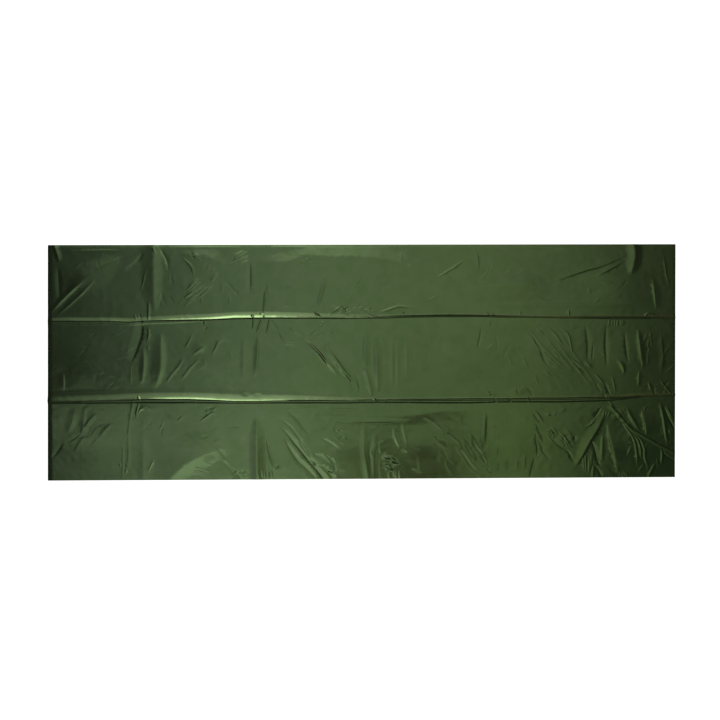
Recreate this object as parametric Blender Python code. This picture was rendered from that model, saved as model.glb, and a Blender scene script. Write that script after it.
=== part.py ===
"""Emergency foil blanket, laid out flat: one thin sheet that keeps its packing folds.

The sheet lies on a surface at z = 0.  X runs along its length, Y across its width, and the
origin is under the middle.  Two lengthwise creases stand up as sharp ridges, a row of cross
creases divides it into panels, and slanting folds run between them.
"""
import math

import bmesh
import bpy
import numpy as np
from mathutils import Vector
from mathutils.geometry import delaunay_2d_cdt

MM = 0.001

# Driving dimensions, in millimetres
LENGTH = 2100.0
LEFT_TOP, LEFT_BOTTOM = 392.6, -395.6      # the left edge is a little wider than the right
RIGHT_TOP, RIGHT_BOTTOM = 395.6, -383.6
RIGHT_LEAN = 2.2                           # the right edge leans in by this much at its foot
SHEET = 1.0                                # thickness of the sheet
STEP_ALONG_CREASE = 30.0
STEP_ALONG_FOLD = 26.0
STEP_ALONG_EDGE = 42.0
PANEL_STEP = 54.0                          # spacing of the points in the smooth panels
CLEAR_OF_FOLDS = 20.0                      # panel points keep this far from any fold
STEEPEST = 1.6                             # limit of the slope used to keep the thickness

# The two lengthwise creases: a row for each place where the line bends.
# x and y of the crest, and how tall it stands there.
UPPER_CREASE = (
    # x      y     tall
    (-1050, 137, 4.0),
    (-909, 138, 6.5),
    (-775, 136, 7.5),
    (-557, 143, 9.0),
    (-373, 148, 9.0),
    (-206, 149, 7.0),
    (-39, 148, 5.0),
    (128, 151, 5.0),
    (296, 155, 5.5),
    (530, 152, 5.0),
    (697, 150, 4.5),
    (850, 148, 5.5),
    (948, 149, 5.0),
    (1050, 149, 4.0),
)
LOWER_CREASE = (
    # x      y     tall
    (-1050, -130, 4.5),
    (-842, -126, 7.0),
    (-641, -123, 8.5),
    (-424, -129, 8.5),
    (-306, -128, 8.0),
    (28, -128, 5.0),
    (296, -125, 5.5),
    (563, -123, 5.5),
    (865, -118, 5.5),
    (948, -110, 4.5),
    (1050, -108, 3.5),
)
# Section across a lengthwise crease: a long flank curves up to the crest on the +Y side, and
# a steep one drops on the other side.  across is the distance from the crest, share the part
# of its height.
UPPER_SECTION = (
    # across share
    (36.0, 0.0),
    (16.0, 0.32),
    (0.0, 1.0),
    (-9.0, 0.0),
)
LOWER_SECTION = (
    # across share: a narrow pleat lies beside this crest, as a ledge half-way down
    (36.0, 0.0),
    (16.0, 0.32),
    (0.0, 1.0),
    (-4.5, 0.5),
    (-9.5, 0.45),
    (-15.0, 0.0),
)

# Folds: a row for each.  x0 y0 and x1 y1 are the two ends of the fold's line, bow is how far
# its middle swings to the left of the straight way, wide is each flank's width, tall is the
# ridge's height (less than zero for a trough), lean moves width from the right flank to the
# left one, and fade says how it ends: both, start, end or none.
FOLDS = (
    # x0    y0    x1    y1   bow  wide tall  lean  fade
    # strip above the upper crease
    (-697, 385, -695, 160, 0, 34, 3.0, 0.0, "end"),
    (-1036, 157, -885, 289, 8, 15, 2.6, 0.0, "both"),
    (-1016, 385, -1009, 330, 0, 13, 2.0, 0.0, "end"),
    (-594, 205, -500, 292, 0, 16, 1.8, 0.2, "both"),
    (-447, 322, -373, 366, 0, 13, 1.8, 0.0, "both"),
    (-375, 385, -376, 232, 0, 16, 1.8, -0.3, "end"),
    (-331, 250, -334, 165, 0, 14, 1.6, 0.3, "start"),
    (-130, 300, -134, 172, 6, 18, 1.7, 0.0, "start"),
    (-135, 186, -72, 192, -8, 24, 2.6, 0.0, "both"),
    (-70, 206, -38, 156, 10, 12, 2.2, 0.0, "both"),
    (92, 170, 182, 178, 5, 12, 1.8, 0.0, "both"),
    (225, 205, 395, 372, -14, 26, 1.8, 0.0, "both"),
    (640, 276, 874, 355, -8, 13, 2.6, 0.0, "both"),
    (762, 284, 866, 336, -4, 12, 2.2, 0.0, "both"),
    (902, 299, 910, 385, 0, 30, 4.0, -0.5, "start"),
    (975, 345, 985, 170, 0, 18, 2.4, 0.3, "both"),
    # strip between the creases
    (-772, 118, -774, 2, 0, 24, 3.2, -0.6, "end"),
    (-712, 128, -740, -84, 10, 16, 2.2, 0.0, "both"),
    (-671, 95, -693, -88, 8, 22, 2.6, 0.2, "both"),
    (-658, -74, -560, 100, -14, 16, 1.8, 0.0, "both"),
    (-614, -54, -480, 44, 8, 16, 1.4, 0.0, "both"),
    (-348, 138, -364, -60, 0, 26, 2.8, 0.0, "end"),
    (-303, 140, -276, 100, 0, 10, 1.8, 0.0, "end"),
    (-240, 116, -100, -20, 10, 15, 1.8, 0.0, "both"),
    (-132, 72, -8, -112, 16, 14, 2.8, 0.0, "both"),
    (8, 100, 36, -116, 0, 14, 2.0, 0.0, "start"),
    (31, 112, 50, -104, 4, 20, 2.6, 0.0, "both"),
    (404, 120, 386, 56, 0, 14, 1.4, 0.0, "both"),
    (533, 30, 562, -112, 0, 16, 1.8, 0.0, "both"),
    (567, 110, 628, -24, 6, 14, 1.8, 0.0, "both"),
    (636, 112, 676, 54, 4, 12, 2.0, 0.0, "both"),
    (694, 18, 764, -42, 4, 13, 2.0, 0.0, "both"),
    (770, 124, 770, 10, 0, 16, 2.2, 0.0, "both"),
    (822, 126, 822, -12, 0, 14, 2.2, 0.0, "both"),
    (808, -62, 836, -112, 0, 10, 2.8, 0.0, "start"),
    (852, 24, 876, -24, 4, 16, 2.8, 0.4, "both"),
    (925, 112, 946, -30, 4, 15, 3.0, 0.0, "both"),
    (998, -56, 1042, -112, 0, 12, 2.0, 0.0, "start"),
    # strip below the lower crease
    (-768, -146, -779, -395, 0, 16, 2.2, 0.3, "none"),
    (-730, -176, -730, -395, 0, 24, 2.6, -0.3, "start"),
    (-956, -150, -960, -212, 0, 16, 1.8, 0.0, "both"),
    (-905, -176, -938, -246, 6, 16, 2.2, 0.0, "both"),
    (-745, -178, -700, -156, 8, 10, 2.4, 0.0, "both"),
    (-540, -196, -486, -170, 6, 10, 2.0, 0.0, "both"),
    (-518, -254, -414, -390, -4, 13, 2.6, 0.0, "start"),
    (-354, -190, -352, -395, 0, 22, 3.2, 0.0, "start"),
    (-310, -256, -284, -392, -4, 13, 2.6, 0.3, "start"),
    (-264, -222, -128, -390, -6, 15, 4.2, 0.0, "start"),
    (-252, -262, -190, -352, -6, 13, 2.6, 0.0, "both"),
    (-242, -168, -168, -316, 12, 14, 2.2, 0.0, "both"),
    (-168, -312, -92, -356, 4, 13, 2.6, 0.0, "both"),
    (-118, -262, -78, -286, 0, 10, 2.4, 0.0, "both"),
    (-92, -206, 168, -206, 5, 14, 2.0, 0.4, "both"),
    (33, -226, 33, -395, 0, 16, 3.0, 0.0, "start"),
    (68, -236, 66, -395, 0, 16, 3.0, 0.0, "start"),
    (74, -316, 124, -340, 5, 13, 3.2, 0.0, "both"),
    (110, -222, 128, -280, 4, 13, 2.0, 0.0, "both"),
    (136, -206, 154, -286, 4, 13, 2.0, 0.0, "both"),
    (288, -238, 390, -366, -6, 14, 2.4, 0.0, "both"),
    (342, -258, 408, -364, -4, 13, 2.4, 0.0, "both"),
    (375, -230, 418, -324, 0, 15, 2.6, 0.0, "both"),
    (576, -162, 602, -200, 0, 10, 2.6, 0.0, "both"),
    (584, -206, 584, -350, 0, 13, 2.2, 0.0, "both"),
    (610, -222, 640, -264, 0, 10, 1.8, 0.0, "both"),
    (650, -258, 709, -340, 6, 12, 2.6, 0.0, "both"),
    (803, -150, 712, -350, 8, 26, 4.2, 0.2, "both"),
    (806, -200, 800, -395, 0, 18, 2.6, 0.0, "start"),
    (831, -134, 1050, -306, -10, 16, 4.2, 0.4, "end"),
    (825, -206, 858, -372, 8, 15, 3.0, 0.0, "both"),
    (871, -196, 921, -350, 12, 13, 3.0, 0.0, "both"),
    (934, -254, 956, -360, 6, 12, 2.4, 0.0, "both"),
    (898, -156, 930, -226, 0, 14, 2.4, 0.0, "both"),
    (938, -160, 952, -236, 4, 13, 2.4, 0.0, "both"),
    (998, -132, 1024, -250, 4, 14, 2.2, 0.0, "both"),
)

# Soft swells that lift a panel off the surface.
SWELLS = (
    # x     y    along across lift
    (-930, 250, 150, 110, 2.0),
    (-560, 270, 150, 110, 2.0),
    (-230, 275, 150, 100, 1.5),
    (520, 270, 190, 110, 2.0),
    (860, 250, 150, 110, 2.5),
    (-930, 10, 130, 110, 2.0),
    (-500, 20, 170, 110, 2.0),
    (-150, 20, 120, 100, 1.5),
    (640, 10, 150, 110, 2.0),
    (900, 20, 140, 110, 2.5),
    (-900, -280, 160, 100, 2.5),
    (-590, -280, 130, 100, 2.0),
    (-60, -300, 150, 90, 2.5),
    (200, -290, 110, 90, 2.5),
    (480, -290, 120, 90, 2.0),
    (900, -300, 170, 90, 3.0),
)


def remove_everything():
    for item in list(bpy.data.objects):
        bpy.data.objects.remove(item, do_unlink=True)


def outline():
    """The four corners, anticlockwise."""
    half = LENGTH / 2
    return [(-half, LEFT_BOTTOM), (half - RIGHT_LEAN, RIGHT_BOTTOM), (half, RIGHT_TOP), (-half, LEFT_TOP)]


def crease_height(x, y, crease, section):
    """Height of a lengthwise crease over the points x, y."""
    line = np.array(crease, dtype=float)
    crest = np.interp(x, line[:, 0], line[:, 1])
    tall = np.interp(x, line[:, 0], line[:, 2])
    profile = np.array(section[::-1], dtype=float)
    return tall * np.interp(y - crest, profile[:, 0], profile[:, 1], left=0.0, right=0.0)


def fading(u, fade):
    """Share of a fold's height at u, which runs from 0 to 1 along it."""
    rise = np.clip(u / 0.35, 0.0, 1.0) if fade in ("both", "start") else 1.0
    fall = np.clip((1.0 - u) / 0.35, 0.0, 1.0) if fade in ("both", "end") else 1.0
    return np.where((u >= 0.0) & (u <= 1.0), rise * fall, 0.0)


def fold_height(x, y, fold):
    """Height of one slanting fold over the points x, y: a ridge with two plain flanks."""
    x0, y0, x1, y1, bow, wide, tall, lean, fade = fold
    run = math.hypot(x1 - x0, y1 - y0)
    ahead = ((x1 - x0) / run, (y1 - y0) / run)
    u = ((x - x0) * ahead[0] + (y - y0) * ahead[1]) / run
    v = (y - y0) * ahead[0] - (x - x0) * ahead[1] - bow * 4.0 * u * (1.0 - u)
    flank = np.where(v > 0.0, wide * (1.0 + lean), wide * (1.0 - lean))
    return tall * np.clip(1.0 - np.abs(v) / flank, 0.0, 1.0) * fading(u, fade)


def swell_height(x, y, swell):
    sx, sy, along, across, lift = swell
    reach = np.clip(np.hypot((x - sx) / along, (y - sy) / across), 0.0, 1.0)
    return lift * np.cos(reach * math.pi / 2) ** 2


def underside(x, y):
    """Height of the sheet's underside above the surface: creases, folds and swells added up."""
    height = crease_height(x, y, UPPER_CREASE, UPPER_SECTION)
    height = height + crease_height(x, y, LOWER_CREASE, LOWER_SECTION)
    for fold in FOLDS:
        height = height + fold_height(x, y, fold)
    for swell in SWELLS:
        height = height + swell_height(x, y, swell)
    return np.maximum(height, 0.0)


def spaced(start, stop, step):
    """Evenly spaced values from start to stop, both included."""
    return np.linspace(start, stop, max(2, round(abs(stop - start) / step) + 1))


def outline_points():
    points = []
    corners = outline()
    for (ax, ay), (bx, by) in zip(corners, corners[1:] + corners[:1]):
        count = round(math.hypot(bx - ax, by - ay) / STEP_ALONG_EDGE)
        points += [(ax + (bx - ax) * i / count, ay + (by - ay) * i / count) for i in range(count)]
    return points


def crease_lines(crease, section):
    """A long line for each row of the crease's section, run past both ends of the sheet."""
    line = np.array(crease, dtype=float)
    past = LENGTH / 2 + 5.0
    xs = spaced(-past, past, STEP_ALONG_CREASE)
    crest = np.interp(xs, line[:, 0], line[:, 1])
    return [list(zip(xs, crest + across)) for across, share in section]


def fold_lines(fold):
    """The ridge line of a fold and the two lines where its flanks meet the panel."""
    x0, y0, x1, y1, bow, wide, tall, lean, fade = fold
    run = math.hypot(x1 - x0, y1 - y0)
    ahead = ((x1 - x0) / run, (y1 - y0) / run)
    lines = []
    for offset in (0.0, wide * (1.0 + lean), -wide * (1.0 - lean)):
        line = []
        for u in spaced(0.0, 1.0, STEP_ALONG_FOLD / run):
            v = offset * max(0.25, float(fading(u, fade))) + bow * 4.0 * u * (1.0 - u)
            line.append((x0 + ahead[0] * run * u - ahead[1] * v, y0 + ahead[1] * run * u + ahead[0] * v))
        lines.append(line)
    return lines


def keep_apart(lines, apart):
    """Leave out every line point that lies too close to one already kept."""
    kept = []
    result = []
    for line in lines:
        chosen = []
        for x, y in line:
            if all((x - a) ** 2 + (y - b) ** 2 > apart ** 2 for a, b in kept):
                chosen.append((x, y))
                kept.append((x, y))
        result.append(chosen)
    return result, kept


def panel_points(taken):
    """Staggered points that carry the soft swells of the panels, clear of every fold."""
    taken = np.array(taken)
    points = []
    rows = spaced(RIGHT_BOTTOM + CLEAR_OF_FOLDS, LEFT_TOP - CLEAR_OF_FOLDS, PANEL_STEP)
    for row, y in enumerate(rows):
        shift = PANEL_STEP / 4 if row % 2 else -PANEL_STEP / 4
        for x in spaced(-LENGTH / 2 + PANEL_STEP / 2, LENGTH / 2 - PANEL_STEP / 2, PANEL_STEP) + shift:
            inside = abs(x) < LENGTH / 2 - CLEAR_OF_FOLDS
            if inside and np.hypot(taken[:, 0] - x, taken[:, 1] - y).min() > CLEAR_OF_FOLDS:
                points.append((x, y))
    return points


def plan_triangles():
    """Cut the sheet's plan into triangles whose edges follow the creases and the folds."""
    edge = outline_points()
    lines = crease_lines(UPPER_CREASE, UPPER_SECTION) + crease_lines(LOWER_CREASE, LOWER_SECTION)
    creases = len(lines)
    for fold in FOLDS:
        lines += fold_lines(fold)
    slim, taken = keep_apart(lines[creases:], 6.0)
    lines = lines[:creases] + slim
    taken = taken + [point for line in lines[:creases] for point in line] + edge
    points = list(edge)
    links = [(i, (i + 1) % len(edge)) for i in range(len(edge))]
    for line in lines:
        first = len(points)
        points += line
        links += [(i, i + 1) for i in range(first, len(points) - 1)]
    points += panel_points(taken)
    flat = [Vector((x, y)) for x, y in points]
    cut = delaunay_2d_cdt(flat, links, [], 1, 0.3)
    half = LENGTH / 2
    return [(min(max(x, -half), half), y) for x, y in cut[0]], [tuple(face) for face in cut[2]]


def tidy_plan(points, faces):
    """Turn the plan into a mesh and fold away slivers and near-doubled points."""
    mesh = bmesh.new()
    spots = [mesh.verts.new((x, y, 0.0)) for x, y in points]
    for face in faces:
        mesh.faces.new([spots[i] for i in face])
    loose = [spot for spot in mesh.verts if not spot.link_faces]
    bmesh.ops.delete(mesh, geom=loose, context="VERTS")
    bmesh.ops.dissolve_degenerate(mesh, dist=0.5, edges=mesh.edges)
    bmesh.ops.triangulate(mesh, faces=mesh.faces)
    bmesh.ops.recalc_face_normals(mesh, faces=mesh.faces)
    if sum(face.normal.z for face in mesh.faces) < 0.0:
        bmesh.ops.reverse_faces(mesh, faces=mesh.faces)
    mesh.verts.index_update()
    return mesh


def raise_to_folds(mesh):
    """Lift every point of the plan to the height of the sheet's underside."""
    x = np.array([spot.co.x for spot in mesh.verts])
    y = np.array([spot.co.y for spot in mesh.verts])
    for spot, height in zip(mesh.verts, underside(x, y)):
        spot.co.z = float(height)
    mesh.normal_update()


def close_sheet(mesh):
    """Give the folded surface its thickness: an upper face, and a wall around the edge."""
    lower = list(mesh.verts)
    under_faces = list(mesh.faces)
    rim = [edge for edge in mesh.edges if len(edge.link_faces) == 1]
    upper = {}
    for spot in lower:
        rise = SHEET * min(STEEPEST, 1.0 / max(spot.normal.z, 0.5))
        upper[spot] = mesh.verts.new((spot.co.x, spot.co.y, spot.co.z + rise))
    for face in under_faces:
        mesh.faces.new([upper[spot] for spot in face.verts])
    for edge in rim:
        a, b = edge.verts
        mesh.faces.new((a, b, upper[b], upper[a]))
    for face in under_faces:
        face.normal_flip()
    bmesh.ops.triangulate(mesh, faces=[face for face in mesh.faces if len(face.verts) > 3])
    bmesh.ops.recalc_face_normals(mesh, faces=mesh.faces)
    bmesh.ops.scale(mesh, vec=(MM, MM, MM), verts=mesh.verts)


def film_material():
    """Metallised film: dark green lacquer over bright metal."""
    material = bpy.data.materials.new("green metallised film")
    material.use_nodes = True
    shader = material.node_tree.nodes["Principled BSDF"]
    shader.inputs["Base Color"].default_value = (0.075, 0.125, 0.050, 1.0)
    shader.inputs["Metallic"].default_value = 0.9
    shader.inputs["Roughness"].default_value = 0.35
    return material


def make_blanket():
    mesh = tidy_plan(*plan_triangles())
    raise_to_folds(mesh)
    close_sheet(mesh)
    data = bpy.data.meshes.new("blanket")
    mesh.to_mesh(data)
    mesh.free()
    data.materials.append(film_material())
    blanket = bpy.data.objects.new("blanket", data)
    bpy.context.scene.collection.objects.link(blanket)
    return blanket


remove_everything()
make_blanket()
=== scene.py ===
# %% [markdown]
# # An emergency foil blanket, laid out flat
#
# The real thing is one sheet of plastic film, a few hundredths of a millimetre thick, with a
# bright metal coating under dark green lacquer.  It was sold folded into a small packet, so it
# keeps every fold when it is spread out: two sharp creases run the whole length, a row of weaker
# ones crosses them, and the panels between are full of small slanting wrinkles.
#
# A metal film has almost no colour of its own that light can scatter from.  What the eye sees
# is the room in it, so the work here is in two places: the slopes of the folds, and the lamps
# that those slopes pick up.

# %% Load the frame that the solids were packed in
import math

import bpy
import numpy as np
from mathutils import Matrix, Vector
from mathutils.geometry import delaunay_2d_cdt


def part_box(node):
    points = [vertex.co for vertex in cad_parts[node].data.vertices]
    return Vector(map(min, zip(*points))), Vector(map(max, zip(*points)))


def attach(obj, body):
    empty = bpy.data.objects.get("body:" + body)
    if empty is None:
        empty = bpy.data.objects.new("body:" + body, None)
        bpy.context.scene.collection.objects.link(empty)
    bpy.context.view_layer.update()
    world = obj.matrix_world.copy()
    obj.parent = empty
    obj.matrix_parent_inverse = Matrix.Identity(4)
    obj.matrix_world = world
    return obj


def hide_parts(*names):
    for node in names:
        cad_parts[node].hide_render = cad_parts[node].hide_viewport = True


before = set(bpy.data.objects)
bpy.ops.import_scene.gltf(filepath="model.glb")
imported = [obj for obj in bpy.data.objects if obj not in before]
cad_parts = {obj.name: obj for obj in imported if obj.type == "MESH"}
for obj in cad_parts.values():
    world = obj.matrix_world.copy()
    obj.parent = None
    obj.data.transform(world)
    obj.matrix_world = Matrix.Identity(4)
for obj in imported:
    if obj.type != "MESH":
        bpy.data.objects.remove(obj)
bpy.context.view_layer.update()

MM = 0.001
low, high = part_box("blanket")
print("solid blanket:", [round((b - a) / MM, 1) for a, b in zip(low, high)], "mm")

# %% [markdown]
# ## The cut sheet
#
# The blanket is a plain rectangle, cut from a roll with a blade, so its edges are straight.  It
# could start as a plane with its corners dragged into place.  Here the four corners are given in
# millimetres from the middle, and each edge is the straight line between two of them, because
# later steps ask where the edge is at any x or y.  Everything below is worked out in millimetres
# and turned into metres when the mesh is made.

# %% Size of the sheet, in millimetres
HALF = 1050.0                              # half of the length
LEFT_TOP, LEFT_BOTTOM = 392.6, -395.6
RIGHT_TOP, RIGHT_BOTTOM = 395.6, -383.6
RIGHT_LEAN = 2.2                           # the right edge leans in by this much at its foot
FLOAT = 2.0                                # how high the smooth film lies over the floor


def edge_height(x, left, right):
    """Y of a long edge at x, on the straight line from its left end to its right end."""
    return left + (right - left) * (x + HALF) / (2 * HALF)


def right_edge(y):
    """X of the right edge at y."""
    return HALF - RIGHT_LEAN * (RIGHT_TOP - y) / (RIGHT_TOP - RIGHT_BOTTOM)


mean_width = (LEFT_TOP - LEFT_BOTTOM + RIGHT_TOP - RIGHT_BOTTOM) / 2
print("laid out:", 2 * HALF, "mm long,", round(mean_width, 1), "mm wide on average")

# %% [markdown]
# ## The two lengthwise creases
#
# These were folded first and pressed hardest, so they stand up as sharp ridges.  On the side
# towards +Y the film swings up to the crest in a long curve.  On the other side it drops almost
# straight down, and beside the lower crease it does so in two steps, with a narrow pleat as a
# ledge between them.  A loop cut and a bevel would give an even ridge, but a real crease changes
# its height and width all the way along.  So each row of a table says where the crest is and
# how it is shaped there, and the values between two rows are blended.

# %% The lengthwise creases, a row for each place where they change
UPPER_CREASE = (
    # x    crest  tall flank drop ledge step
    (-1050, 137.0, 2.8, 18, 3.0, 5.0, 0.3),
    (-976, 138.5, 3.3, 20, 3.5, 5.0, 0.3),
    (-909, 138.0, 3.4, 20, 3.0, 5.0, 0.3),
    (-842, 138.5, 3.4, 20, 3.0, 4.5, 0.3),
    (-775, 136.0, 3.2, 20, 3.0, 6.0, 0.25),
    (-708, 140.0, 3.0, 20, 4.0, 5.0, 0.2),
    (-641, 141.5, 4.2, 22, 4.0, 4.0, 0.15),
    (-574, 142.5, 4.8, 25, 4.0, 2.0, 0.1),
    (-507, 144.0, 5.8, 27, 2.5, 0.5, 0.0),
    (-424, 147.0, 7.4, 28, 2.0, 0.5, 0.0),
    (-340, 148.5, 7.0, 28, 2.0, 0.5, 0.0),
    (-240, 148.5, 6.0, 26, 2.0, 0.5, 0.0),
    (-139, 149.0, 4.2, 22, 2.5, 0.5, 0.0),
    (-39, 148.5, 3.0, 18, 2.5, 0.5, 0.0),
    (62, 149.0, 3.2, 15, 2.0, 0.5, 0.0),
    (162, 152.5, 3.4, 11, 2.0, 0.5, 0.0),
    (262, 155.0, 3.6, 11, 2.0, 0.5, 0.0),
    (363, 155.0, 3.6, 11, 2.0, 0.5, 0.0),
    (463, 152.5, 3.2, 9, 2.0, 0.5, 0.0),
    (563, 152.0, 2.2, 9, 2.0, 0.5, 0.0),
    (664, 150.5, 2.2, 9, 2.0, 0.5, 0.0),
    (764, 149.0, 3.2, 9, 2.0, 0.5, 0.0),
    (865, 148.0, 4.2, 10, 3.0, 0.5, 0.0),
    (948, 149.0, 3.4, 10, 2.5, 0.5, 0.0),
    (1050, 149.0, 3.0, 13, 3.0, 0.5, 0.0),
)
LOWER_CREASE = (
    # x    crest  tall flank drop ledge step
    (-1050, -130.0, 5.0, 34, 3.5, 1.0, 0.4),
    (-976, -129.0, 6.0, 38, 3.0, 2.0, 0.4),
    (-909, -127.5, 6.5, 38, 3.0, 3.0, 0.4),
    (-842, -126.0, 7.0, 38, 3.0, 4.0, 0.4),
    (-775, -123.5, 7.5, 38, 3.0, 6.5, 0.4),
    (-708, -122.5, 8.0, 38, 2.8, 8.0, 0.4),
    (-641, -122.5, 8.5, 38, 2.8, 8.0, 0.4),
    (-574, -122.5, 8.5, 38, 2.5, 8.0, 0.4),
    (-507, -124.5, 8.8, 40, 2.2, 6.5, 0.4),
    (-424, -129.0, 8.8, 40, 2.2, 2.8, 0.3),
    (-340, -129.0, 8.5, 38, 2.2, 2.8, 0.3),
    (-240, -127.0, 7.0, 32, 2.5, 4.0, 0.4),
    (-139, -126.0, 4.6, 24, 2.5, 5.0, 0.4),
    (-39, -127.0, 3.8, 18, 2.5, 4.0, 0.4),
    (62, -128.0, 3.4, 11, 2.0, 2.0, 0.4),
    (162, -126.0, 3.6, 10, 2.0, 5.0, 0.4),
    (262, -125.5, 3.8, 10, 2.0, 6.0, 0.4),
    (363, -124.0, 3.8, 10, 2.2, 7.5, 0.4),
    (463, -125.0, 4.0, 10, 2.2, 3.5, 0.4),
    (563, -122.5, 3.8, 10, 2.5, 5.0, 0.4),
    (664, -121.5, 4.0, 10, 2.5, 6.0, 0.4),
    (764, -120.0, 4.0, 10, 2.5, 5.0, 0.4),
    (831, -119.0, 3.8, 10, 2.5, 4.0, 0.3),
    (865, -118.5, 3.4, 10, 2.5, 1.0, 0.2),
    (948, -110.0, 2.8, 11, 2.5, 0.5, 0.0),
    (1050, -108.5, 2.6, 13, 3.0, 0.5, 0.0),
)
print("crease rows:", len(UPPER_CREASE), "upper,", len(LOWER_CREASE), "lower")

# %% Height of a crease
FLANK_CURL = 2.3                           # the flank eases in, and is steepest at the crest
LEDGE_RISE = 0.16                          # share of the height that the ledge rises outward
LEDGE_FULL = 0.3                           # a ledge this high or higher has all of that rise
LEDGE_LEAST = 0.1                          # mm: keeps the sum below from dividing by nothing
CREST_WANDER = 0.3                         # mm that a pressed crest strays from its line
CREST_WAVES = ((1.0, 61.0, 0.0), (0.5, 23.0, 1.3))  # share, slowness and start of two waves of it


def crease_at(x, crease):
    """The crease's columns at each x: crest line, height, flank, drop, ledge and step."""
    rows = np.array(crease, dtype=float)
    columns = [np.interp(x, rows[:, 0], rows[:, i]) for i in range(1, 7)]
    stray = sum(share * np.sin(x / slow + start) for share, slow, start in CREST_WAVES)
    return (columns[0] + CREST_WANDER * stray, *columns[1:])


def crease_height(x, y, crease):
    """Height that a lengthwise crease adds over the points x, y."""
    line, tall, flank, drop, ledge, step = crease_at(x, crease)
    v = y - line
    curve = np.clip(1.0 - v / flank, 0.0, 1.0) ** FLANK_CURL
    outer = np.where(step > 0.0, step + LEDGE_RISE * np.clip(step / LEDGE_FULL, 0.0, 1.0), 0.0)
    first = np.clip(-v / drop, 0.0, 1.0)
    over = np.clip((-v - drop) / np.maximum(ledge, LEDGE_LEAST), 0.0, 1.0)
    second = np.clip((-v - drop - ledge) / drop, 0.0, 1.0)
    down = 1.0 - first * (1.0 - step) + over * (outer - step) - outer * second
    return tall * np.where(v >= 0.0, curve, down)


names = ("crest line", "height", "flank", "drop", "ledge", "step")
sizes = [round(float(size), 1) for size in crease_at(-424.0, LOWER_CREASE)]
print("lower crease at x = -424:", dict(zip(names, sizes)))

# %% [markdown]
# ## Folds and wrinkles
#
# A wrinkle in foil is a line with a slope on each side.  One slope turns towards the lamps and
# looks light, the other turns away and looks dark, and that pair is all that shows.  They could
# be sculpted, but a brush leaves no sizes that can be read or changed later.  So each row below
# is one such line, walked from its first point to its last: `left` and `right` are how wide the
# slopes are on either hand, and `tall` is its height (a trough is less than zero).  Both ends
# run out softly, unless a last word names the one end that does, or none.  A narrow row is a
# thin line, and a wide one tips a whole facet of the film.

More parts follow.
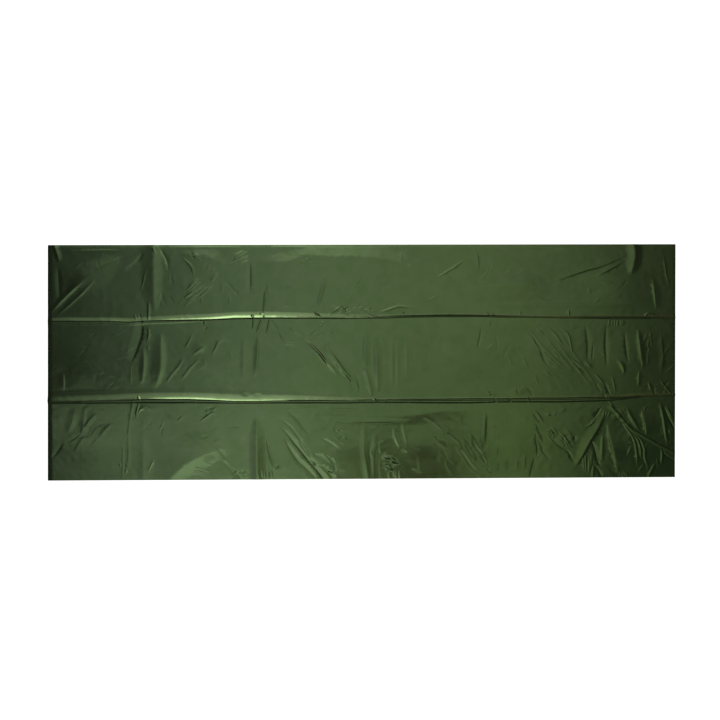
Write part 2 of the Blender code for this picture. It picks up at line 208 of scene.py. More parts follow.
# %% Folds of the strip above the upper crease
TOP_FOLDS = (
    # left right tall path, and fade unless both ends fade
    (14, 10, 1.6, ((-1028, 392), (-1019, 364), (-1010, 336)), "end"),
    (12, 12, -0.9, ((-1016, 320), (-1010, 210))),
    (4, 4, 0.6, ((-1045, 240), (-1042, 190))),
    (14, 10, 1.6, ((-1042, 165), (-1005, 205), (-962, 246), (-925, 275))),
    (10, 8, 1.1, ((-1025, 150), (-975, 195), (-930, 236), (-890, 280))),
    (40, 60, 2.2, ((-985, 235), (-900, 300), (-810, 350))),
    (5, 5, 0.7, ((-980, 372), (-880, 374), (-790, 375))),
    (10, 10, -0.9, ((-790, 305), (-755, 333), (-730, 365))),
    (4, 4, 0.5, ((-835, 335), (-800, 358))),
    (30, 42, 2.1, ((-696, 393), (-696, 280), (-693, 165)), "end"),
    (4, 4, 0.7, ((-722, 312), (-730, 270), (-740, 235))),
    (8, 6, 1.2, ((-712, 204), (-713, 147)), "start"),
    (10, 6, -1.0, ((-680, 390), (-652, 340), (-648, 305))),
    (4, 4, 0.9, ((-700, 388), (-690, 365)), "start"),
    (8, 5, 0.9, ((-600, 350), (-570, 320), (-560, 285))),
    (5, 5, 1.3, ((-595, 213), (-560, 238), (-520, 262))),
    (4, 4, 0.6, ((-520, 305), (-505, 330))),
    (4, 4, 0.6, ((-505, 300), (-487, 315))),
    (4, 4, 0.7, ((-565, 358), (-545, 345))),
    (9, 7, 1.0, ((-505, 268), (-480, 302))),
    (5, 5, -0.6, ((-470, 285), (-440, 255), (-395, 205))),
    (3, 3, 0.5, ((-468, 270), (-468, 230))),
    (3, 3, 0.5, ((-442, 225), (-442, 190))),
    (3, 3, 0.5, ((-535, 225), (-535, 195))),
    (38, 60, 1.05, ((-610, 362), (-560, 360), (-520, 355), (-490, 340), (-448, 326))),
    (40, 60, 1.1, ((-362, 345), (-320, 338), (-250, 336), (-220, 345), (-190, 358),
                           (-120, 352), (20, 350), (134, 330)), "start"),
    (4, 4, 0.6, ((-640, 385), (-410, 385))),
    (4, 4, 0.5, ((-300, 386), (-180, 386))),
    (5, 4, 0.8, ((130, 366), (135, 330))),
    (12, 32, -1.2, ((455, 374), (560, 375), (685, 376))),
    (5, 5, 1.3, ((-448, 328), (-420, 345), (-385, 365))),
    (9, 9, -1.0, ((-375, 338), (-375, 232))),
    (9, 8, -1.1, ((-328, 252), (-335, 162)), "start"),
    (9, 9, 0.7, ((-300, 178), (-230, 182), (-160, 180))),
    (6, 5, 0.7, ((-188, 308), (-178, 280))),
    (7, 11, 1.4, ((-118, 300), (-128, 250), (-140, 205), (-130, 188), (-120, 163))),
    (6, 6, 1.3, ((-62, 190), (-55, 168), (-42, 156))),
    (4, 6, 1.0, ((-112, 158), (-64, 192))),
    (4, 4, 0.9, ((0, 170), (20, 176), (40, 166))),
    (5, 8, 1.1, ((50, 163), (92, 178), (130, 188), (182, 180))),
    (6, 6, 1.2, ((244, 279), (285, 303), (320, 325), (347, 347))),
    (4, 4, 0.7, ((345, 280), (360, 296))),
    (5, 6, 0.8, ((380, 380), (390, 330), (384, 298))),
    (4, 4, 0.8, ((216, 204), (262, 226))),
    (6, 16, 0.8, ((400, 193), (700, 194), (1000, 195))),
    (30, 7, 2.2, ((640, 271), (700, 292), (760, 312), (800, 322), (850, 342), (886, 356))),
    (20, 6, 1.8, ((786, 288), (830, 312), (876, 336))),
    (26, 24, 2.6, ((900, 294), (914, 352), (910, 396)), "start"),
    (22, 6, 1.5, ((972, 282), (978, 240), (985, 176))),
    (50, 60, 1.6, ((300, 240), (480, 262), (640, 250))),
    (5, 5, 0.8, ((560, 232), (600, 214), (628, 206))),
    (4, 5, 0.7, ((1010, 360), (1018, 300), (1030, 250))),
)
print("folds in the upper strip:", len(TOP_FOLDS))

# %% Folds of the strip between the creases
MIDDLE_FOLDS = (
    # left right tall path, and fade unless both ends fade
    (60, 60, -0.7, ((-1080, -66), (-998, -32), (-945, -2), (-760, 0))),
    (6, 20, 1.1, ((-998, -34), (-996, -96))),
    (7, 28, -1.7, ((-735, 116), (-738, 88), (-753, 42), (-771, 0)), "end"),
    (5, 5, 1.1, ((-713, 122), (-712, 92), (-718, 64))),
    (4, 4, 0.8, ((-715, 58), (-712, 42))),
    (11, 15, 1.1, ((-730, 52), (-728, 0), (-732, -50), (-739, -72))),
    (3, 3, 0.4, ((-772, -8), (-772, -76))),
    (16, 36, 1.7, ((-672, 98), (-670, 0), (-678, -50), (-693, -88))),
    (8, 6, 0.9, ((-595, 22), (-610, -10), (-635, -40), (-656, -72))),
    (8, 6, 0.8, ((-538, 16), (-575, -20), (-606, -62))),
    (5, 5, 0.9, ((-566, 92), (-580, 65), (-592, 44))),
    (10, 7, 1.0, ((-513, 62), (-545, 40), (-567, 24))),
    (7, 5, 1.2, ((-453, 64), (-462, 73), (-480, 65), (-490, 45), (-501, 24))),
    (3, 3, 0.5, ((-530, 12), (-520, -12))),
    (3, 3, 0.5, ((-443, 37), (-433, 8))),
    (26, 9, 0.7, ((-396, 84), (-397, -74))),
    (4, 4, -1.3, ((-366, 143), (-368, 110)), "end"),
    (4, 5, -1.4, ((-340, 142), (-356, 98)), "end"),
    (8, 14, 1.7, ((-344, 94), (-350, 0), (-358, -50))),
    (4, 4, -1.3, ((-312, 142), (-322, 94)), "end"),
    (4, 4, -1.2, ((-303, 140), (-279, 108)), "end"),
    (10, 8, 1.2, ((-278, 108), (-262, 80), (-245, 62), (-198, 65))),
    (14, 8, 1.4, ((-242, 118), (-214, 98), (-186, 80))),
    (9, 9, 1.9, ((-207, 90), (-165, 52), (-140, 28), (-110, -5), (-78, -44))),
    (9, 9, 2.1, ((-132, 70), (-115, 45), (-95, 20), (-75, -8), (-55, -35), (-35, -55),
                         (-20, -75), (-14, -104))),
    (4, 4, -0.9, ((-182, 78), (-160, 100), (-138, 113))),
    (4, 4, -0.7, ((-152, 84), (-123, 101))),
    (16, 12, 1.1, ((12, 112), (12, 40), (12, -30))),
    (11, 10, 1.1, ((12, -26), (22, -60), (36, -114)), "end"),
    (18, 14, 1.2, ((43, 94), (49, 20), (51, -20), (56, -100))),
    (9, 9, 0.6, ((103, 84), (103, -80))),
    (7, 7, 0.5, ((120, 70), (121, -100))),
    (9, 9, 0.5, ((150, 96), (151, -60))),
    (3, 3, 0.6, ((64, 87), (74, 63))),
    (5, 6, -0.9, ((401, 118), (397, 85), (391, 58)), "start"),
    (3, 3, -0.6, ((436, 136), (432, 116))),
    (50, 60, 1.5, ((250, 60), (330, 0), (400, -70))),
    (4, 4, 0.8, ((526, 11), (540, 16), (550, -5), (556, -17))),
    (9, 6, -1.3, ((568, 98), (585, 65), (600, 40), (610, 10), (631, -20))),
    (4, 5, 1.0, ((583, 114), (613, 91))),
    (4, 5, 1.1, ((618, 119), (645, 98), (671, 60))),
    (4, 5, 1.2, ((663, 118), (690, 95), (700, 60), (706, 28))),
    (4, 5, 0.9, ((638, 40), (662, 13))),
    (4, 5, 0.9, ((608, -26), (633, -46))),
    (4, 5, 0.9, ((633, -11), (669, -23))),
    (5, 5, 1.2, ((696, 14), (725, -5), (742, -22))),
    (5, 5, 1.2, ((716, -16), (743, -39))),
    (5, 5, 1.0, ((743, 10), (771, -21))),
    (5, 5, 1.1, ((778, -34), (814, -76))),
    (13, 9, -1.1, ((748, 124), (757, 66), (756, 6))),
    (5, 5, -0.9, ((775, 64), (771, 6))),
    (10, 7, -1.2, ((818, 126), (816, 60), (820, -16))),
    (4, 4, 0.7, ((800, 36), (821, 18))),
    (10, 8, 1.8, ((853, 6), (868, -5), (875, -20), (878, -38))),
    (8, 7, -1.0, ((879, 104), (885, 40), (891, -4))),
    (15, 10, 1.6, ((924, 114), (928, 80), (935, 20), (940, 0), (938, -24))),
    (12, 5, 1.3, ((928, -26), (925, -82))),
    (5, 4, -0.9, ((520, -86), (523, -107))),
    (5, 4, -1.0, ((549, -78), (576, -117))),
    (5, 5, -1.8, ((812, -66), (822, -90), (833, -110))),
    (5, 4, -1.0, ((779, -66), (801, -100))),
    (4, 4, 1.0, ((838, -43), (850, -102))),
    (3, 4, 0.7, ((579, -43), (591, -71))),
    (5, 4, 1.1, ((959, -66), (969, -97))),
    (5, 7, 1.6, ((998, -60), (1015, -80), (1037, -107))),
    (6, 14, 1.0, ((1000, 100), (1008, 20), (1002, -40))),
)
print("folds in the middle strip:", len(MIDDLE_FOLDS))

# %% Folds of the strip below the lower crease
BOTTOM_FOLDS = (
    # left right tall path, and fade unless both ends fade
    (14, 22, 0.4, ((-960, -150), (-966, -195), (-985, -240))),
    (9, 14, 0.5, ((-926, -150), (-930, -200), (-938, -238))),
    (14, 9, 0.5, ((-885, -172), (-908, -194), (-928, -220), (-941, -247))),
    (4, 4, -0.8, ((-943, -243), (-977, -264))),
    (8, 12, -0.7, ((-998, -268), (-1018, -298), (-1038, -322))),
    (10, 10, 0.4, ((-928, -250), (-945, -275), (-962, -302))),
    (4, 4, 0.4, ((-884, -254), (-906, -282))),
    (10, 10, 0.4, ((-835, -203), (-862, -232), (-882, -264))),
    (4, 6, 0.6, ((-797, -255), (-799, -396))),
    (8, 7, 0.6, ((-764, -134), (-773, -180), (-780, -235)), "none"),
    (8, 7, 0.6, ((-781, -225), (-779, -300), (-781, -350)), "start"),
    (6, 5, 1.6, ((-745, -136), (-752, -164), (-753, -186))),
    (5, 5, 1.7, ((-749, -180), (-742, -160), (-727, -153), (-700, -158))),
    (26, 17, 0.6, ((-731, -186), (-731, -400)), "start"),
    (5, 5, 0.9, ((-703, -318), (-697, -330), (-705, -345), (-713, -368))),
    (6, 6, 0.8, ((-652, -177), (-618, -199))),
    (5, 5, 0.7, ((-619, -200), (-597, -180))),
    (5, 5, 1.5, ((-541, -199), (-520, -183), (-502, -171), (-484, -172))),
    (4, 4, 0.6, ((-590, -240), (-560, -262), (-518, -297))),
    (10, 4, -1.6, ((-522, -253), (-500, -272), (-480, -292), (-450, -325), (-432, -348))),
    (12, 6, -2.0, ((-464, -328), (-446, -350), (-428, -372), (-406, -398)), "start"),
    (4, 4, -0.7, ((-537, -251), (-513, -247))),
    (90, 44, 2.1, ((-670, -424), (-600, -350), (-520, -304), (-430, -280))),
    (30, 24, 2.1, ((-352, -185), (-350, -400)), "start"),
    (10, 4, -1.8, ((-318, -256), (-312, -290), (-303, -320), (-295, -345), (-287, -362))),
    (4, 4, 1.3, ((-298, -348), (-285, -357), (-277, -343))),
    (17, 5, -2.6, ((-275, -214), (-250, -238), (-225, -270), (-200, -300), (-175, -332),
                          (-150, -360), (-124, -394)), "start"),
    (13, 5, -2.0, ((-259, -252), (-245, -280), (-230, -305), (-212, -330), (-190, -350),
                         (-165, -375), (-150, -392))),
    (9, 4, -1.3, ((-278, -186), (-240, -215), (-210, -255), (-190, -285), (-172, -312))),
    (11, 4, -1.7, ((-214, -260), (-192, -292), (-170, -320))),
    (18, 8, -1.4, ((-247, -166), (-220, -185), (-200, -210), (-178, -240))),
    (14, 5, 1.1, ((-92, -196), (40, -199), (168, -196))),
    (9, 4, -1.5, ((-136, -254), (-110, -268), (-85, -284), (-73, -288))),
    (4, 4, -1.1, ((-87, -261), (-58, -277))),
    (9, 4, -1.6, ((-162, -307), (-135, -320), (-105, -338), (-88, -344))),
    (6, 6, -1.2, ((-118, -310), (-105, -325), (-92, -345), (-88, -362))),
    (10, 4, -1.8, ((-146, -343), (-120, -362), (-97, -385)), "start"),
    (4, 4, -0.9, ((-116, -364), (-100, -370), (-83, -359))),
    (40, 34, 0.6, ((-40, -182), (150, -178), (260, -163), (340, -160), (430, -147))),
    (14, 18, 0.6, ((8, -203), (10, -290), (16, -340), (25, -396)), "start"),
    (12, 13, 0.6, ((43, -238), (41, -310), (40, -396)), "start"),
    (6, 6, -0.35, ((56, -250), (55, -320), (56, -396)), "start"),
    (8, 9, 1.1, ((106, -220), (112, -245), (122, -270), (129, -288))),
    (8, 9, 1.0, ((134, -203), (145, -240), (153, -278))),
    (6, 9, 2.2, ((64, -315), (96, -318), (110, -330), (132, -339))),
    (5, 5, 1.7, ((74, -336), (88, -342), (98, -355), (104, -368))),
    (5, 5, -0.9, ((129, -291), (152, -301))),
    (4, 4, 0.8, ((168, -354), (202, -369))),
    (4, 4, -1.0, ((206, -182), (235, -202), (262, -225), (268, -242))),
    (7, 6, -0.9, ((282, -234), (300, -255), (320, -272), (336, -293))),
    (10, 8, -1.2, ((312, -276), (340, -308), (362, -342), (386, -368), (404, -384))),
    (9, 7, -1.1, ((340, -258), (360, -298), (382, -334))),
    (10, 7, -1.3, ((364, -240), (380, -282), (400, -308), (416, -338))),
    (5, 5, -0.8, ((329, -177), (345, -220))),
    (4, 4, -1.5, ((389, -310), (408, -325), (419, -344))),
    (6, 6, -0.8, ((417, -348), (432, -374))),
    (10, 12, 1.2, ((414, -163), (410, -230), (408, -294))),
    (4, 4, 2.0, ((578, -160), (592, -178), (607, -201))),
    (4, 4, -1.4, ((573, -170), (599, -205))),
    (5, 4, -1.5, ((583, -203), (590, -225), (600, -245), (609, -270))),
    (4, 4, -1.5, ((584, -236), (582, -258), (587, -285), (587, -314))),
    (4, 4, -1.1, ((587, -256), (600, -278), (605, -295), (620, -315), (632, -330))),
    (8, 8, -0.9, ((580, -318), (572, -350), (562, -390))),
    (5, 5, -2.0, ((638, -256), (662, -280), (690, -298), (705, -325), (716, -342))),
    (8, 27, 2.8, ((814, -168), (790, -222), (765, -262), (738, -312), (713, -350))),
    (5, 6, -1.5, ((802, -148), (788, -172), (776, -188))),
    (5, 6, 1.2, ((784, -184), (768, -206), (744, -217))),
    (7, 7, -2.2, ((766, -254), (780, -290), (790, -330), (801, -348))),
    (8, 6, 1.3, ((775, -344), (772, -390))),
    (5, 6, -1.4, ((779, -343), (795, -365), (806, -388))),
    (44, 8, 2.3, ((822, -200), (828, -245), (840, -290), (849, -330), (857, -372))),
    (10, 8, 1.2, ((806, -236), (803, -334))),
    (5, 9, 2.3, ((833, -146), (860, -175), (880, -200), (905, -225), (925, -236), (960, -256),
                         (985, -270), (1012, -284), (1056, -306)), "none"),
    (4, 6, 1.5, ((868, -196), (890, -225), (907, -248))),
    (6, 5, 2.0, ((888, -222), (905, -248), (915, -275), (920, -310), (922, -350))),
    (6, 5, 2.0, ((905, -240), (920, -255), (930, -280), (935, -322))),
    (7, 5, 2.0, ((915, -238), (935, -262), (945, -290), (946, -315), (955, -345), (958, -364))),
    (9, 10, 1.9, ((886, -152), (900, -180), (915, -205), (932, -228))),
    (40, 6, 2.6, ((936, -158), (943, -190), (950, -215), (953, -246))),
    (4, 4, 1.0, ((950, -147), (944, -162))),
    (10, 8, 2.0, ((996, -131), (1005, -165), (1012, -200), (1018, -245), (1026, -284))),
    (6, 6, -2.2, ((1009, -142), (1022, -175), (1046, -222)), "start"),
    (5, 4, 1.2, ((1018, -143), (1042, -192))),
    (7, 7, 1.7, ((1002, -284), (1005, -310), (1002, -342))),
    (5, 5, -1.5, ((1005, -284), (1015, -309), (1048, -331)), "start"),
    (8, 8, 1.5, ((984, -333), (970, -360), (954, -388))),
    (5, 5, 1.0, ((946, -338), (924, -368))),
    (5, 5, 0.9, ((988, -312), (991, -352))),
)
print("folds in the lower strip:", len(BOTTOM_FOLDS))

# %% Short wrinkles that pinch the lengthwise creases
CREST_FOLDS = (
    # left right tall path, and fade unless both ends fade
    (4, 4, 0.8, ((-762, 162), (-752, 141))),
    (4, 4, -0.8, ((-744, 164), (-738, 143))),
    (4, 4, -1.6, ((-370, 162), (-358, 147))),
    (4, 4, 1.4, ((-334, 164), (-326, 149))),
    (5, 5, 2.0, ((-156, 176), (-152, 162), (-136, 152))),
    (4, 4, 1.5, ((24, 168), (34, 156), (50, 160))),
    (4, 4, 1.2, ((136, 174), (142, 158))),
    (4, 4, -1.3, ((420, 171), (432, 158), (450, 165))),
    (4, 4, 1.2, ((528, 173), (532, 156))),
    (4, 4, 1.4, ((692, 178), (694, 154))),
    (4, 4, 1.8, ((936, 154), (946, 151), (957, 164), (984, 156))),
    (4, 4, 1.4, ((-747, -110), (-740, -127))),
    (4, 4, 1.4, ((38, -116), (50, -134))),
    (4, 4, -1.3, ((444, -116), (450, -134))),
    (4, 4, -1.3, ((494, -116), (498, -134))),
    (4, 4, 1.3, ((554, -112), (562, -132))),
    (4, 4, 1.4, ((824, -124), (834, -138), (848, -158))),
    (4, 4, -1.4, ((808, -106), (817, -124))),
)
print("folds across the creases:", len(CREST_FOLDS))

# %% [markdown]
# ## Bundles of fine wrinkles
#
# Where the film has been pulled from one point, thin wrinkles run side by side like the ribs of a
# fan.  Where it was squashed instead, short creases lie in all directions about a main one.
# Setting each by hand would take hundreds of rows that all say much the same.  So a row of the
# first table gives a fan's first and last rib, and a loop sets the others between, each a little
# off its place and with its own ends.  A row of the second table gives a crumpled patch.

# %% Fans of thin wrinkles
FANS = (
    # strokes flank tall first  last
    (7, 4, 1.5, ((-600, 184), (-572, 207), (-540, 230)), ((-590, 242), (-562, 268), (-535, 292))),
    (4, 4, 1.5, ((-582, 204), (-545, 234), (-506, 262)), ((-543, 214), (-515, 238), (-488, 266))),
    (6, 4, 1.5, ((-450, 342), (-418, 364), (-388, 384)), ((-414, 320), (-392, 336), (-366, 350))),
    (5, 6, 0.8, ((520, 134), (600, 34), (700, -52)), ((642, 130), (702, 42), (806, -106))),
    (4, 6, 1.3, ((-192, 82), (-130, 24), (-92, -42)), ((-140, 74), (-95, 12), (-60, -40))),
    (4, 4, -1.3, ((-60, -40), (-35, -70), (-26, -106)), ((-22, -36), (-10, -70), (-6, -106))),
    (6, 3, 1.0, ((832, 147), (830, 132), (827, 116)), ((874, 147), (877, 132), (878, 118))),
    (4, 4, 0.9, ((-541, -323), (-520, -334), (-500, -346)), ((-520, -307), (-500, -317), (-480, -326))),
    (3, 4, 0.7, ((-574, -352), (-540, -356), (-498, -372)), ((-566, -376), (-545, -372), (-520, -384))),
    (5, 4, 1.1, ((-346, -350), (-343, -372), (-340, -396)), ((-304, -354), (-302, -374), (-301, -396))),
    (6, 7, 0.35, ((-292, -147), (-150, -150), (0, -152)), ((-245, -170), (-120, -173), (-15, -179))),
    (4, 4, 1.3, ((92, -360), (94, -376), (97, -394)), ((126, -354), (128, -372), (131, -392))),
    (4, 5, 1.2, ((606, -222), (622, -240), (640, -268)), ((634, -216), (648, -230), (662, -246))),
    (6, 4, 1.2, ((642, -226), (672, -258), (702, -300)), ((672, -216), (692, -232), (715, -272))),
    (3, 4, 1.3, ((812, -158), (809, -170), (806, -184)), ((834, -156), (830, -170), (824, -186))),
    (4, 5, 1.1, ((742, -298), (744, -335), (748, -374)), ((769, -298), (768, -335), (764, -374))),
    (4, 3, 1.2, ((862, -362), (866, -374), (869, -388)), ((884, -362), (886, -374), (890, -388))),
    (3, 4, 1.1, ((852, -156), (866, -172), (882, -190)), ((868, -148), (880, -162), (892, -182))),
    (4, 5, 0.5, ((455, -330), (456, -352), (454, -372)), ((548, -300), (546, -330), (544, -366))),
)
STRAY = np.random.default_rng(11)          # seeded, so the film folds the same way each time
RIB_SHIFT = (-0.3, 0.3)                    # how far a rib is off its place, in gaps between ribs
RIB_START = (-0.05, 0.25)                  # where it starts and ends, in shares of its length
RIB_END = (0.75, 1.05)
RIB_TALL = (0.6, 1.1)                      # its height, in shares of the fan's


def fan_strokes():
    """One fold for each rib of each fan, between the fan's two guide lines."""
    folds = []
    for strokes, flank, tall, first, last in FANS:
        for i in range(strokes):
            share = (i + STRAY.uniform(*RIB_SHIFT)) / (strokes - 1)
            line = np.array(first) * (1.0 - share) + np.array(last) * share
            ends = STRAY.uniform(*RIB_START), STRAY.uniform(*RIB_END)
            places = np.linspace(*ends, 3) * (len(line) - 1)
            path = [tuple(np.interp(p, range(len(line)), line[:, k]) for k in (0, 1)) for p in places]
            folds.append((flank, flank, tall * STRAY.uniform(*RIB_TALL), tuple(path)))
    return tuple(folds)


fan_folds = fan_strokes()
print("ribs in", len(FANS), "fans:", len(fan_folds))

# %% Crumpled patches
CRUMPLES = (
    # x    y     wide high strokes turn tall
    (-185, 340, 30, 20, 5, 60, 0.8),
    (-60, 176, 70, 30, 8, 40, 0.9),
    (20, 178, 60, 22, 6, 20, 0.8),
    (-560, 352, 60, 24, 6, 60, 0.6),
    (-640, 250, 80, 120, 6, 80, 0.45),
    (-880, 320, 160, 70, 7, 30, 0.45),
    (-250, 260, 160, 80, 6, 60, 0.45),
    (60, 270, 220, 100, 7, 70, 0.45),
    (500, 300, 240, 90, 7, 30, 0.5),
    (800, 240, 160, 60, 6, 30, 0.6),
    (-528, 126, 30, 28, 5, 60, 0.9),
    (-95, 102, 24, 26, 4, 50, 0.8),
    (-128, 130, 26, 18, 4, 30, 0.8),
    (-870, 60, 200, 90, 7, 20, 0.45),
    (-850, -60, 180, 60, 5, 30, 0.4),
    (-470, -50, 120, 60, 5, -40, 0.45),
    (200, 40, 200, 120, 7, 80, 0.45),
    (470, 30, 110, 120, 6, -60, 0.5),
    (437, -108, 26, 18, 5, 70, 0.9),
    (990, 40, 90, 120, 8, 70, 0.7),
    (985, -85, 80, 40, 7, 50, 0.9),
    (-503, -158, 30, 12, 5, 30, 0.9),
    (-870, -250, 150, 110, 8, 50, 0.15),
    (-790, -355, 40, 30, 5, 70, 0.7),
    (-700, -205, 70, 60, 5, 60, 0.6),
    (-400, -377, 56, 22, 9, 60, 0.7),
    (-450, -235, 80, 50, 5, 20, 0.5),
    (-72, -238, 40, 28, 6, -30, 0.9),
    (-158, -330, 26, 26, 5, 0, 0.6),
    (88, -352, 26, 18, 5, -40, 1.1),
    (60, -285, 60, 60, 5, 80, 0.6),
    (240, -300, 130, 110, 6, -50, 0.5),
    (490, -240, 120, 120, 6, 60, 0.45),
    (640, -235, 34, 24, 7, -45, 1.3),
    (690, -255, 60, 50, 8, -45, 1.1),
    (640, -170, 90, 30, 7, -20, 0.8),
    (860, -190, 40, 50, 6, -50, 1.0),
    (920, -290, 70, 60, 6, -70, 1.0),
    (1010, -245, 50, 60, 6, -60, 1.2),
)
IN_PATCH = (-0.5, 0.5)                     # where a crease lies, in shares of the patch
TURN_SPREAD = 30.0                         # degrees that most of them are off the main direction
HALF_LENGTH = (0.15, 0.35)                 # half of a crease, in shares of the patch's short side
SHORT_SIDE = 30.0                          # mm: a smaller patch counts as this big
BEND = (-0.2, 0.2)                         # how far its middle is off the straight line
FLANK = (3.0, 6.0)                         # mm: width of its left slope
OTHER_FLANK = (0.8, 2.0)                   # and of the right one, in shares of the left
LIFT = (0.5, 1.1)                          # its height, in shares of the patch's


def crumple_strokes():
    """Short creases strewn over each crumpled patch, most of them near its main direction."""
    folds = []
    for x, y, wide, high, strokes, turn, tall in CRUMPLES:
        for i in range(strokes):
            sx = x + wide * STRAY.uniform(*IN_PATCH)
            sy = y + high * STRAY.uniform(*IN_PATCH)
            way = math.radians(turn + STRAY.normal(0.0, TURN_SPREAD))
            half = STRAY.uniform(*HALF_LENGTH) * max(min(wide, high), SHORT_SIDE)
            bend = STRAY.uniform(*BEND) * half
            dx, dy = math.cos(way), math.sin(way)
            path = ((sx - half * dx, sy - half * dy), (sx - bend * dy, sy + bend * dx),
                    (sx + half * dx, sy + half * dy))
            flank = STRAY.uniform(*FLANK)
            lift = tall * STRAY.uniform(*LIFT) * STRAY.choice((-1.0, 1.0))
            folds.append((flank, flank * STRAY.uniform(*OTHER_FLANK), lift, path))
    return tuple(folds)


crumple_folds = crumple_strokes()
print("creases in", len(CRUMPLES), "crumpled patches:", len(crumple_folds))

# %% [markdown]
# ## Soft swells
#
# Between the folds the film is not quite flat either.  Each panel is lifted a little where it
# has not settled back, and a few small dents and bumps sit among the wrinkles.  Cloth simulation
# could find such swells by itself, but not in the places where this film has them, so each is
# one row: a round lift that fades to nothing at its rim.

# %% Swells and dents
SWELLS = (
    # x     y    along across lift
    (-930, 250, 150, 110, 1.2),
    (-560, 270, 150, 110, 1.2),
    (-230, 275, 150, 100, 0.9),
    (520, 270, 190, 110, 1.2),
    (860, 250, 150, 110, 1.4),
    (-930, 10, 130, 110, 1.2),
    (-500, 20, 170, 110, 1.2),
    (-150, 20, 120, 100, 0.9),
    (640, 10, 150, 110, 1.2),
    (900, 20, 140, 110, 1.4),
    (-900, -280, 160, 100, 1.4),
    (-590, -280, 130, 100, 1.2),
    (-60, -300, 150, 90, 1.4),
    (200, -290, 110, 90, 1.4),
    (480, -290, 120, 90, 1.2),
    (900, -300, 170, 90, 1.8),
    (-92, 180, 26, 18, 1.0),
    (-541, 50, 32, 26, 0.8),
    (95, -343, 26, 12, -1.4),
    (517, -98, 42, 18, 1.0),
    (437, -222, 18, 14, -0.5),
    (-388, -107, 22, 13, 0.8),
    (-346, -109, 20, 12, 0.6),
)
print("swells:", len(SWELLS))

# %% [markdown]
# ## The height of the film
#
# One function adds all of it up.  For a wrinkle, every point nearby finds the closest place on
# the wrinkle's line: how far along it that is gives the fading at the ends, and how far off it
# is gives the height.  Doing it as one height over the plan keeps the film a single sheet with
# no cuts, which modelling each fold by itself would not.

# %% The line of a wrinkle
CURVE_STEPS = 4                            # short straight pieces between two points of a path
THINNER = ((6.0, 12.0), (0.75, 1.0))       # thin wrinkles are pressed narrower than they look


def smooth_path(path):
    """A soft curve through the points of a path, as many short pieces."""
    if len(path) == 2:
        return np.array(path, dtype=float)
    p = np.array([path[0], *path, path[-1]], dtype=float)
    curve = [p[1]]
    for a, b, c, d in zip(p, p[1:], p[2:], p[3:]):
        for t in np.arange(1, CURVE_STEPS + 1) / CURVE_STEPS:
            curve.append(0.5 * (2 * b + (c - a) * t + (2 * a - 5 * b + 4 * c - d) * t ** 2
                                + (3 * b - a - 3 * c + d) * t ** 3))
    return np.array(curve)


def measure(curve):
    """Length of each piece of a curve, and how far along the curve each of its points is."""
    lengths = np.hypot(*np.diff(curve, axis=0).T)
    return lengths, np.concatenate(([0.0], np.cumsum(lengths)))


def make_ready(left, right, tall, path, fade="both"):
    """The columns of a row, with its sides thinned and its path as a soft curve."""
    left, right = (side * np.interp(side, *THINNER) for side in (left, right))
    return left, right, tall, fade, smooth_path(path)


BY_HAND = TOP_FOLDS + MIDDLE_FOLDS + BOTTOM_FOLDS + CREST_FOLDS
WRINKLES = [make_ready(*fold) for fold in BY_HAND + fan_folds + crumple_folds]
print("wrinkles:", len(WRINKLES))

# %% Height of one wrinkle
RIDGE_ROUND = 1.1                          # mm: film can't bend sharper than this
CURL = 1.25                                # 1 is a flat facet; more eases the slope out at its foot
RELIEF = ((4.0, 14.0), (0.5, 1.0))         # how strongly the film is set: thin wrinkles, wide facets
SETTING = ((-600, -150, 60, 300, 500, 620), (1.0, 1.4, 1.7, 1.4, 1.0, 0.8))  # and how, by x
FADE_SHARE = 0.42                          # part of the line's length over which an end runs out
POINTED = 0.6                              # share of its width that a wrinkle loses at its ends
ROUND_ABOUT = 1.0                          # mm past a wrinkle's foot that are still looked at
FAR = 1e9                                  # farther than any point is from any line


def along_and_across(x, y, curve):
    """For each point: its share of the way along the curve, and its distance to the left."""
    lengths, starts = measure(curve)
    best = np.full(x.shape, FAR)
    along, across = np.zeros(x.shape), np.zeros(x.shape)
    for (ax, ay), (bx, by), run, start in zip(curve, curve[1:], lengths, starts):
        dx, dy = (bx - ax) / run, (by - ay) / run
        t = np.clip((x - ax) * dx + (y - ay) * dy, 0.0, run)
        off_x, off_y = x - ax - dx * t, y - ay - dy * t
        distance = np.hypot(off_x, off_y)
        side = np.where(dx * off_y - dy * off_x >= 0.0, 1.0, -1.0)
        nearer = distance < best
        best = np.where(nearer, distance, best)
        across = np.where(nearer, distance * side, across)
        along = np.where(nearer, (start + t) / starts[-1], along)
    return along, across


def fading(u, fade):
    """Share of a wrinkle's height at u, which runs from 0 to 1 along it."""
    rise = np.clip(u / FADE_SHARE, 0.0, 1.0) if fade in ("both", "start") else 1.0
    fall = np.clip((1.0 - u) / FADE_SHARE, 0.0, 1.0) if fade in ("both", "end") else 1.0
    return np.sin(rise * math.pi / 2) * np.sin(fall * math.pi / 2)


def add_wrinkle(height, x, y, wrinkle):
    """Add a wrinkle's height to the points x, y that are near it."""
    left, right, tall, fade, curve = wrinkle
    reach = max(left, right) + ROUND_ABOUT
    near = np.flatnonzero((x > curve[:, 0].min() - reach) & (x < curve[:, 0].max() + reach)
                          & (y > curve[:, 1].min() - reach) & (y < curve[:, 1].max() + reach))
    if not near.size:
        return
    u, v = along_and_across(x[near], y[near], curve)
    full = fading(u, fade)
    flank = np.where(v > 0.0, left, right) * (1.0 - POINTED + POINTED * full)
    rounded = np.sqrt(v ** 2 + RIDGE_ROUND ** 2) - RIDGE_ROUND
    relief = np.interp(min(left, right), *RELIEF) * np.interp(curve[:, 0].mean(), *SETTING)
    height[near] += tall * relief * np.clip(1.0 - rounded / flank, 0.0, 1.0) ** CURL * full


